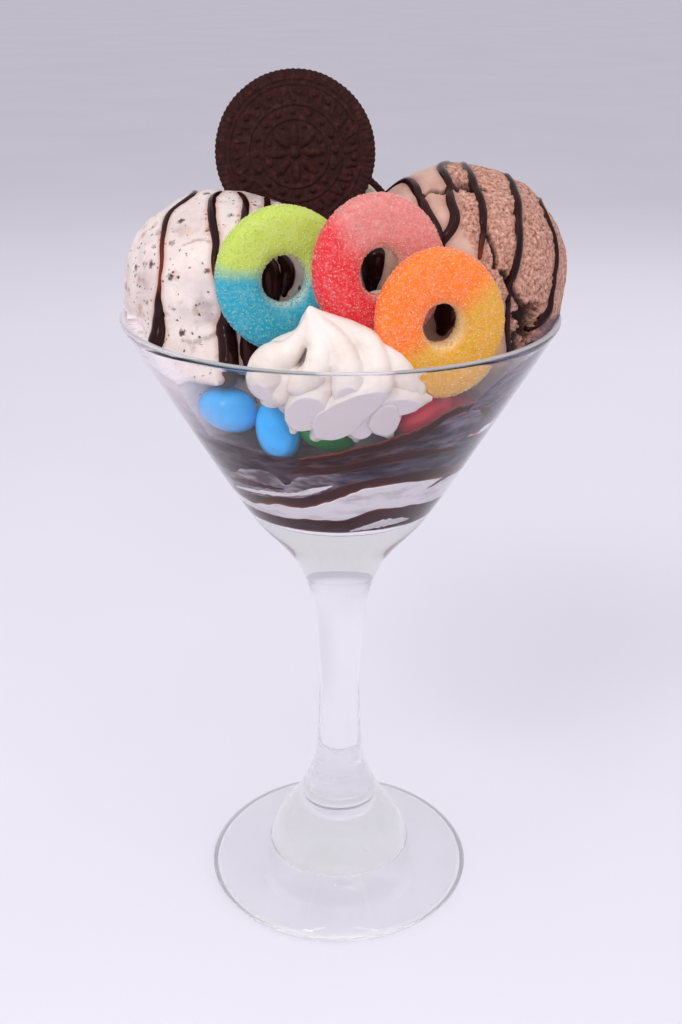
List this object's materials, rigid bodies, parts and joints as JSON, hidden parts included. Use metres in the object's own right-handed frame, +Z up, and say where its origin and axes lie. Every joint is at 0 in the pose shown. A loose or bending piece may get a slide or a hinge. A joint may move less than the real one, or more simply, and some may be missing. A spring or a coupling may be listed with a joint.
{
  "type": "ice cream sundae in a stemmed cone glass",
  "caption": "Ice cream sundae with scoops, gummy rings, a sandwich cookie, candies and whipped cream, built together with its clear stemmed cone glass.",
  "frame": {"origin": "centre of the glass foot's underside, on the glass axis", "axes": "+Z up along the glass axis; -Y is the front, where the gummy rings and whipped cream show; +X is to the viewer's right"},
  "size_m": [0.1151, 0.1134, 0.2346],
  "materials": {
    "clear_glass": "clear pressed glass, lightly frosted at the bowl",
    "fudge_sauce": "glossy dark fudge sauce",
    "vanilla_ice_cream": "soft melted ice cream against glass",
    "cookies_and_cream_ice_cream": "pale ice cream with cookie crumbs",
    "chocolate_ice_cream": "porous chocolate ice cream",
    "whipped_cream": "soft satin whipped cream",
    "cocoa_wafer": "dry, dark baked cocoa wafer",
    "cookie_cream": "waxy ivory filling",
    "gummy_green_blue": "sugared gummy, lime to blue",
    "gummy_red_pink": "sugared gummy, red to pink",
    "gummy_orange_yellow": "sugared gummy, orange to yellow",
    "candy_blue": "smooth candy shell",
    "candy_green": "smooth candy shell",
    "candy_red": "smooth candy shell"
  },
  "bodies": {
    "root": {"glass": "clear_glass", "fudge_layer_1": "fudge_sauce", "vanilla_layer_1": "vanilla_ice_cream", "fudge_layer_2": "fudge_sauce", "vanilla_layer_2": "vanilla_ice_cream", "fudge_layer_3": "fudge_sauce", "scoop_cookies_and_cream": "cookies_and_cream_ice_cream", "scoop_chocolate": "chocolate_ice_cream", "whipped_cream": "whipped_cream", "ring_green_blue": "gummy_green_blue", "ring_red_pink": "gummy_red_pink", "ring_orange_yellow": "gummy_orange_yellow", "cookie_front_wafer": "cocoa_wafer", "cookie_cream": "cookie_cream", "cookie_back_wafer": "cocoa_wafer", "half_cookie_cream": "cookie_cream", "half_cookie_wafer": "cocoa_wafer", "candy_blue_1": "candy_blue", "candy_blue_2": "candy_blue", "candy_green": "candy_green", "candy_red_1": "candy_red", "candy_red_2": "candy_red"}
  },
  "joints": []
}
